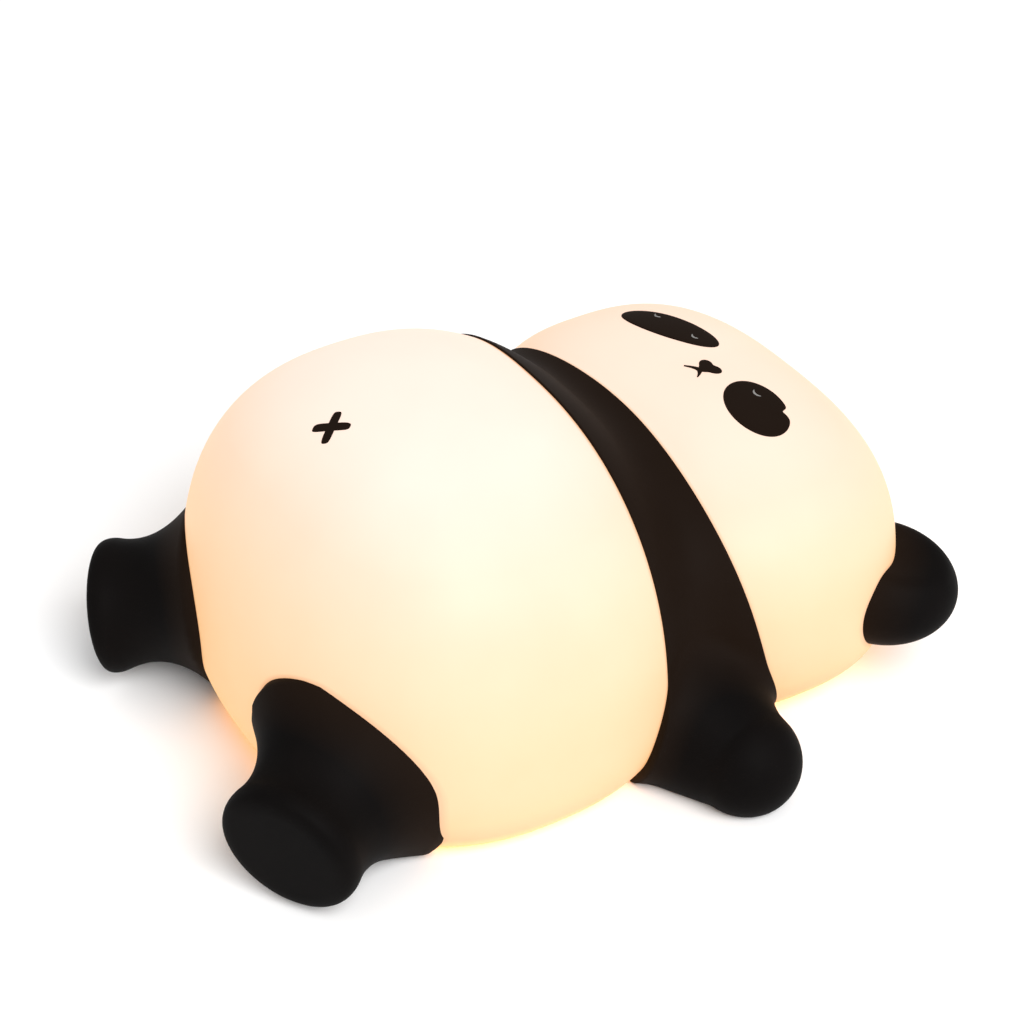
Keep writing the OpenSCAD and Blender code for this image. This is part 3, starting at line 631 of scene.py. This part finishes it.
def band_and_arms():
    """The chest band and both arms in one piece: a proud front with round edges, a sunk back."""
    a, middle = band_turns()
    head = lean_where(a, black_cover, middle, LEAN_FAR)
    foot = lean_where(a, black_cover, middle, -LEAN_FAR)
    width = length(on_skin(a, head) - on_skin(a, foot))[:, None]
    share = band_shares(width)
    count = share.shape[1]
    lean = foot[:, None] + (head - foot)[:, None] * share
    dirs = band_dirs(np.repeat(a, count), lean.ravel())
    skin_r = reach(skin_and_floor, BAND_CORE, dirs, RAY_MIDDLE)
    black_r = np.maximum(reach(black_form, BAND_CORE, dirs, RAY_MIDDLE), skin_r)
    from_edge = (np.minimum(share, 1 - share) * width).ravel()
    rise = np.sqrt(1 - (1 - np.clip(from_edge / EDGE_ROUND, 0, 1)) ** 2)
    front = BAND_CORE + (skin_r + (black_r - skin_r) * rise)[:, None] * dirs
    back_share = np.linspace(1, 0, BAND_BACK_CELLS + 1)
    back_lean = foot[:, None] + (head - foot)[:, None] * back_share
    back_dirs = band_dirs(np.repeat(a, len(back_share)), back_lean.ravel())
    back_r = reach(skin_and_floor, BAND_CORE, back_dirs, RAY_MIDDLE) - BAND_SUNK
    back = BAND_CORE + back_r[:, None] * back_dirs
    loops = np.concatenate((front.reshape(len(a), count, 3), back.reshape(len(a), -1, 3)), axis=1)
    form = loft(loops[0].mean(0), list(loops), loops[-1].mean(0))
    piece = make_mesh("band_and_arms", [form], BLACK, black_measures)
    fit_out(piece, "black_silicone", "arm_band")


def black_measures(p):
    """How far each point stands off the glowing skin, which sets the painted warm glow on the black."""
    return {"skin_near": np.maximum(body(p), 0)}


def flipped(part):
    """The part mirrored to the right side, with its faces still outwards."""
    points, faces = part
    return mirrored(points), [f[::-1] for f in faces]


def legs_and_ears():
    leg_form = blob(leg, SOLE_AT + LEG_LEN * 0.5 * LEG_DIR, -LEG_DIR, 180, 150, 60)
    ear_form = blob(ear, EAR_AT + np.array((0.0, 0.0, -4.0)), (0, 0, 1), 180, 120, 45)
    for side, turn in (("left", lambda part: part), ("right", flipped)):
        for kind, form in (("leg", leg_form), ("ear", ear_form)):
            shell = make_mesh(f"{side}_{kind}_shell", [turn(form)], BLACK, black_measures)
            fit_out(shell, "black_silicone", f"{side}_{kind}")


# ---------------------------------------------------------------- marks on the face and belly

MARK_PROUD = 0.35
MARK_SUNK = 0.4
ARC_PROUD = 0.12
INLAY_AROUND = 180
STROKE_STEPS = 28

# Shares of an inlay's reach for its flat rings, then (distance in from its rim, share of full height)
INLAY_FILL = (0.2, 0.4, 0.6, 0.8)
INLAY_EDGE = ((0.5, 0.98), (0.3, 0.88), (0.12, 0.6), (0.02, 0.25), (0, -0.05))
# A stroke's cross-section: shares of its half width and of its height, below 0 in the skin
STROKE_SECTION = ((-1, 0), (-0.92, 0.4), (-0.7, 0.75), (-0.35, 0.95), (0, 1), (0.35, 0.95), (0.7, 0.75),
                  (0.92, 0.4), (1, 0), (0.6, -0.8), (-0.6, -0.8))


def inlay(centre, outline):
    """A thin crowned inlay in the skin; outline(a) is its reach round its centre."""
    a = circle_angles(INLAY_AROUND)
    r = outline(a)
    around = np.column_stack((np.cos(a), np.sin(a)))

    def ring(radius, lift):
        return top_of_skin(centre + radius[:, None] * around, lift)

    rings = [ring(r * k, MARK_PROUD) for k in INLAY_FILL]
    rings += [ring(np.maximum(r - back, 0.85 * r), MARK_PROUD * rise) for back, rise in INLAY_EDGE]
    rings.append(ring(r, -MARK_SUNK))
    middle = np.array((centre,))
    return loft(top_of_skin(middle, MARK_PROUD)[0], rings, top_of_skin(middle, -MARK_SUNK)[0])


def stroke(path, half_width, low, high):
    """A thin half-round stroke over the skin along path(s), as wide as half_width(s) says."""
    s = np.linspace(0, 1, STROKE_STEPS)
    line = path(s)
    along = np.gradient(line, axis=0)
    side = np.column_stack((-along[:, 1], along[:, 0])) / length(along)[:, None]
    loops = []
    for k, h in STROKE_SECTION:
        height = low + (high - low) * h if h >= 0 else low + MARK_SUNK * h
        loops.append(top_of_skin(line + k * half_width(s)[:, None] * side, height))
    loops = np.array(loops).transpose(1, 0, 2)
    return loft(loops[0].mean(0), list(loops), loops[-1].mean(0))


def wrap(a):
    """The angle a, brought to within half a turn of 0."""
    return (a + math.pi) % (2 * math.pi) - math.pi


def oval(a, half_l, half_w, tilt):
    """The reach of an oval at angle a, its length turned by tilt."""
    return half_l * half_w / np.hypot(half_w * np.cos(a - tilt), half_l * np.sin(a - tilt))


def right_patch(a):
    """An almond whose inner end is drawn out to a soft point."""
    tilt = math.radians(17)
    point = 0.08 * np.exp(-(wrap(a - tilt) / 0.35) ** 2)
    return oval(a, 15.9, 5.9, tilt) * (1 + point)


def left_patch(a):
    """A plump oval with a small notch in its outer upper rim."""
    notch = 0.19 * np.exp(-(wrap(a - math.radians(50)) / 0.2) ** 2)
    return oval(a, 11.9, 7.7, math.radians(-9.5)) * (1 - notch)


def nose(a):
    """A rounded wedge, wide above and narrow below."""
    return oval(a, 3.7, 2.35, math.radians(8)) * (1 + 0.2 * np.sin(3 * a - 0.2))


def cross(a):
    """Four rounded arms that taper to the middle and point between the axes."""
    b = (a + 0.05) % (math.pi / 2) - math.pi / 4
    return ((1 / 5.0) ** 5 + (np.abs(np.sin(b)) / 1.2) ** 5) ** (-1 / 5)


def smile(x, y, r):
    """A shallow closed-eye arc with its ends towards the head."""
    half = math.radians(52)

    def path(s):
        t = half * (2 * s - 1)
        return np.column_stack((x + r * np.sin(t), y + r * (1 - np.cos(t))))

    def half_width(s):
        return 0.3 * np.sin(math.pi * np.clip(s, 0.04, 0.96)) ** 0.5

    return stroke(path, half_width, MARK_PROUD, MARK_PROUD + ARC_PROUD)


def whisker(side):
    """One stroke of the mouth, curved in and drawn out to a point."""
    def path(s):
        return np.column_stack((1.6 + (side * 3.2 - 0.4) * s, 65.3 - 2.4 * s ** 1.5))

    return stroke(path, lambda s: 0.85 - 0.68 * s, -0.05, MARK_PROUD)


def face_and_navel():
    patches = (("left", (23.0, 68.8), left_patch), ("right", (-22.9, 71.3), right_patch))
    for side, centre, outline in patches:
        piece = make_mesh(side + "_eye_inlay", [inlay(centre, outline)], BLACK)
        fit_out(piece, "black_silicone", side + "_eye_patch")
    muzzle = make_mesh("nose_inlay", [inlay((1.9, 67.9), nose), whisker(1), whisker(-1)], BLACK)
    fit_out(muzzle, "black_silicone", "nose_and_mouth")
    fit_out(make_mesh("navel_inlay", [inlay((0.0, -39.4), cross)], BLACK), "black_silicone", "navel_cross")
    fit_out(make_mesh("left_eye_line", [smile(18.4, 71.4, 2.0)], GREY_PRINT), "mark_grey", "left_eye_arc")
    lines = [smile(-29.5, 71.7, 1.7), smile(-13.3, 73.1, 1.7)]
    fit_out(make_mesh("right_eye_lines", lines, GREY_PRINT), "mark_grey", "right_eye_arcs")


glowing_skin()
band_and_arms()
legs_and_ears()
face_and_navel()


# ---------------------------------------------------------------- rings of small parts

RING_INPUTS = (("Count", "Int"), ("Ring Radius", "Float"), ("Base Height", "Float"), ("Finish", "Material"))


def ring_tree(name, solid):
    """Nodes that stand copies of one small solid evenly round a circle, each turned outwards."""
    tree = bpy.data.node_groups.new(name, "GeometryNodeTree")
    keys = {}
    for label, kind in RING_INPUTS:
        socket = tree.interface.new_socket(name=label, in_out="INPUT", socket_type="NodeSocket" + kind)
        keys[label] = socket.identifier
    tree.interface.new_socket(name="Geometry", in_out="OUTPUT", socket_type="NodeSocketGeometry")

    def add(kind, **links):
        node = tree.nodes.new(kind)
        for key, output in links.items():
            tree.links.new(output, node.inputs[key])
        return node

    def product(output, factor):
        node = add("ShaderNodeMath")
        node.operation = "MULTIPLY"
        tree.links.new(output, node.inputs[0])
        if isinstance(factor, bpy.types.NodeSocket):
            tree.links.new(factor, node.inputs[1])
        else:
            node.inputs[1].default_value = factor
        return node.outputs[0]

    def upright(output):
        return add("ShaderNodeCombineXYZ", Z=output).outputs[0]

    given = add("NodeGroupInput").outputs
    circle = add("GeometryNodeMeshCircle", Vertices=given["Count"], Radius=given["Ring Radius"])
    share = add("ShaderNodeMath")
    share.operation = "DIVIDE"
    share.inputs[0].default_value = 2 * math.pi
    tree.links.new(given["Count"], share.inputs[1])
    step = share.outputs[0]
    turn = product(add("GeometryNodeInputIndex").outputs[0], step)
    copies = add("GeometryNodeInstanceOnPoints", Points=circle.outputs["Mesh"], Instance=solid(tree),
                 Rotation=upright(turn))
    place = add("GeometryNodeTransform", Geometry=copies.outputs["Instances"],
                Rotation=upright(product(step, 0.5)), Translation=upright(given["Base Height"]))
    real = add("GeometryNodeRealizeInstances", Geometry=place.outputs["Geometry"])
    finish = add("GeometryNodeSetMaterial", Geometry=real.outputs["Geometry"], Material=given["Finish"])
    add("NodeGroupOutput", Geometry=finish.outputs["Geometry"])
    return tree, keys


def ring_part(ring, material, count, radius, height):
    """Points and faces of one ring made by the nodes; radius and height in millimetres."""
    tree, keys = ring
    carrier = bpy.data.objects.new("ring_carrier", bpy.data.meshes.new("ring_carrier"))
    bpy.context.scene.collection.objects.link(carrier)
    nodes = carrier.modifiers.new("ring", "NODES")
    nodes.node_group = tree
    values = {"Count": count, "Ring Radius": radius * MM, "Base Height": height * MM, "Finish": material}
    for label, value in values.items():
        nodes[keys[label]] = value
    ready = carrier.evaluated_get(bpy.context.evaluated_depsgraph_get())
    mesh = bpy.data.meshes.new_from_object(ready)
    points = np.array([v.co[:] for v in mesh.vertices]) / MM
    faces = [list(p.vertices) for p in mesh.polygons]
    bpy.data.objects.remove(carrier)
    bpy.data.meshes.remove(mesh)
    return points, faces


LED_SIZE = (2.8, 3.5, 0.62)
LED_DOME = (1.1, 1.35, 0.36)
LED_DOME_Z = 0.44
LED_RINGS = ((12, 17), (6, 8))
DOT_R = 0.75
DOT_H = 0.4
DOT_RINGS = ((6, 3.4), (12, 6.8), (18, 10.2))
PAD_R = 12
PAD_TOP = 1.3
PAD_LIFT = 0.3
PAD_EDGE = 0.3
PAD_AROUND = 96


def led_solid(tree):
    """A flat package with a low oval dome of phosphor on it."""
    box = tree.nodes.new("GeometryNodeMeshCube")
    box.inputs["Size"].default_value = [s * MM for s in LED_SIZE]
    seat = tree.nodes.new("GeometryNodeTransform")
    seat.inputs["Translation"].default_value = (0, 0, LED_SIZE[2] / 2 * MM)
    ball = tree.nodes.new("GeometryNodeMeshUVSphere")
    ball.inputs["Segments"].default_value = 20
    ball.inputs["Rings"].default_value = 10
    ball.inputs["Radius"].default_value = MM
    squash = tree.nodes.new("GeometryNodeTransform")
    squash.inputs["Scale"].default_value = LED_DOME
    squash.inputs["Translation"].default_value = (0, 0, LED_DOME_Z * MM)
    both = tree.nodes.new("GeometryNodeJoinGeometry")
    for shape, place in ((box, seat), (ball, squash)):
        tree.links.new(shape.outputs["Mesh"], place.inputs["Geometry"])
        tree.links.new(place.outputs["Geometry"], both.inputs["Geometry"])
    return both.outputs["Geometry"]


def dot_solid(tree):
    """A short round grip dot."""
    rod = tree.nodes.new("GeometryNodeMeshCylinder")
    rod.inputs["Vertices"].default_value = 20
    rod.inputs["Radius"].default_value = DOT_R * MM
    rod.inputs["Depth"].default_value = DOT_H * MM
    seat = tree.nodes.new("GeometryNodeTransform")
    seat.inputs["Translation"].default_value = (0, 0, DOT_H / 2 * MM)
    tree.links.new(rod.outputs["Mesh"], seat.inputs["Geometry"])
    return seat.outputs["Geometry"]


def led_finish():
    """Grainy yellow phosphor that glows."""
    f = Finish("led_package", 0.4)
    light = f.ramp(f.noise(300, 3), (0.3, (0.9, 0.74, 0.4)), (0.7, (1.0, 0.84, 0.5)))
    f.glow(f.mix(0.5, light, (0.9, 0.7, 0.35)))
    f.colour(f.ramp(f.noise(2400, 4), (0.3, (0.80, 0.66, 0.20)), (0.7, (0.92, 0.80, 0.30))))
    f.bump(f.noise(2400, 4), 0.2, 0.0001)
    return f.material


def led_packages():
    base = min(v.co.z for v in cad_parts["leds"].data.vertices) / MM
    finish, ring = led_finish(), ring_tree("ring_of_leds", led_solid)
    parts = [ring_part(ring, finish, count, radius, base) for count, radius in LED_RINGS]
    piece = make_mesh("led_packages", parts, finish)
    piece.data.shade_flat()
    fit_out(piece, "led_phosphor", "leds")


def grip_pad():
    """A rubber disc that stands on three rings of grip dots."""
    rubber = moulded("pad_rubber", (0.05, 0.05, 0.052), 0.8, 700, 0.0003, 0.2)
    a = circle_angles(PAD_AROUND)
    disc = [np.column_stack((r * np.cos(a), r * np.sin(a), np.full(PAD_AROUND, z)))
            for r, z in ((PAD_R - PAD_EDGE, PAD_LIFT), (PAD_R, PAD_LIFT + PAD_EDGE), (PAD_R, PAD_TOP))]
    parts = [loft((0, 0, PAD_LIFT), disc, (0, 0, PAD_TOP))]
    ring = ring_tree("ring_of_dots", dot_solid)
    parts += [ring_part(ring, rubber, count, radius, 0) for count, radius in DOT_RINGS]
    piece = make_mesh("grip_pad", parts, rubber)
    piece.data.shade_flat()
    fit_out(piece, "pad_rubber", "non_slip_pad")


led_packages()
grip_pad()


# ---------------------------------------------------------------- finishes of the lamp's own parts

def dress(material, *nodes):
    """Give the CAD nodes one material."""
    for name in nodes:
        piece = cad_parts[name]
        piece.data.materials.clear()
        piece.data.materials.append(material)


dress(moulded("white_abs", (0.80, 0.79, 0.76), 0.42), "base_housing", "bottom_cover")
dress(moulded("grey_abs", (0.28, 0.28, 0.29), 0.5), "power_slider", "timer_button")
dress(moulded("black_plastic", (0.012, 0.012, 0.013), 0.4), "usb_tongue", "switch_lever", "tact_plunger")
dress(moulded("tact_body", (0.03, 0.03, 0.032), 0.5), "tact_switch")
dress(moulded("chip_black", (0.015, 0.015, 0.016), 0.55, 1600), "board_parts")
dress(moulded("foam", (0.55, 0.55, 0.56), 0.9, 1800, 0.0006, 0.1), "battery_foam")
dress(moulded("battery_wrap", (0.05, 0.18, 0.55), 0.3, 500, 0.00005), "battery_cell")
dress(moulded("lead_red", (0.6, 0.02, 0.02), 0.45), "battery_lead_plus", "led_leads")
dress(moulded("lead_black", (0.012, 0.012, 0.012), 0.45), "battery_lead_minus")
dress(circuit_board("green_board", (0.01, 0.16, 0.06), (0.03, 0.30, 0.12)), "control_board")
dress(circuit_board("white_board", (0.78, 0.78, 0.76), (0.70, 0.69, 0.64)), "led_board")
dress(plated("steel", (0.62, 0.62, 0.63)), "cover_screws", "board_screws", "led_board_screws", "usb_shell",
      "slide_switch")
dress(plated("brass_can", (0.75, 0.58, 0.28), 0.35), "tap_sensor")
dress(clear_plastic(), "charge_light_pipe")
dress(frosted_plastic(), "diffuser_dome")


# ---------------------------------------------------------------- floor, light and camera

def floor():
    mesh = bpy.data.meshes.new("floor")
    half = 30.0
    corners = [(-half, -half, 0), (half, -half, 0), (half, half, 0), (-half, half, 0)]
    mesh.from_pydata(corners, [], [(0, 1, 2, 3)])
    f = Finish("pale_floor", 0.9, 0.0)
    f.colour(f.ramp(f.noise(3, 2), (0.3, (0.975, 0.975, 0.975)), (0.7, (0.99, 0.99, 0.99))))
    mesh.materials.append(f.material)
    plane = bpy.data.objects.new("floor", mesh)
    bpy.context.scene.collection.objects.link(plane)


def area_light(name, toward, distance, size, power):
    data = bpy.data.lights.new(name, "AREA")
    data.shape = "DISK"
    data.size = size
    data.energy = power
    lamp = bpy.data.objects.new(name, data)
    toward = Vector(toward).normalized()
    lamp.location = Vector((0, 0.01, 0.04)) + toward * distance
    lamp.rotation_euler = toward.to_track_quat("Z", "Y").to_euler()
    bpy.context.scene.collection.objects.link(lamp)


def room():
    world = bpy.data.worlds.new("room")
    world.use_nodes = True
    world.node_tree.nodes["Background"].inputs["Color"].default_value = (1, 1, 1, 1)
    world.node_tree.nodes["Background"].inputs["Strength"].default_value = 0.62
    bpy.context.scene.world = world
    area_light("key", (0.72, 0.0, 0.72), 3.0, 2.0, 92.0)


def camera():
    azimuth, elevation, roll = math.radians(61.61), math.radians(35.66), math.radians(-2.16)
    target, distance = Vector((-0.01043, 0.01472, 0.04025)), 0.65034
    level = Vector((math.cos(azimuth), math.sin(azimuth), 0))
    back = Vector((math.sin(azimuth) * math.cos(elevation), -math.cos(azimuth) * math.cos(elevation),
                   math.sin(elevation)))
    right = level * math.cos(roll) + back.cross(level) * math.sin(roll)
    up = back.cross(right)
    data = bpy.data.cameras.new("camera")
    data.lens = 86.45
    data.sensor_width = 36
    eye = bpy.data.objects.new("camera", data)
    place = Matrix((right, up, back)).transposed().to_4x4()
    place.translation = target + back * distance
    eye.matrix_world = place
    bpy.context.scene.collection.objects.link(eye)
    bpy.context.scene.camera = eye


floor()
room()
camera()
bpy.context.scene.view_settings.view_transform = "Standard"
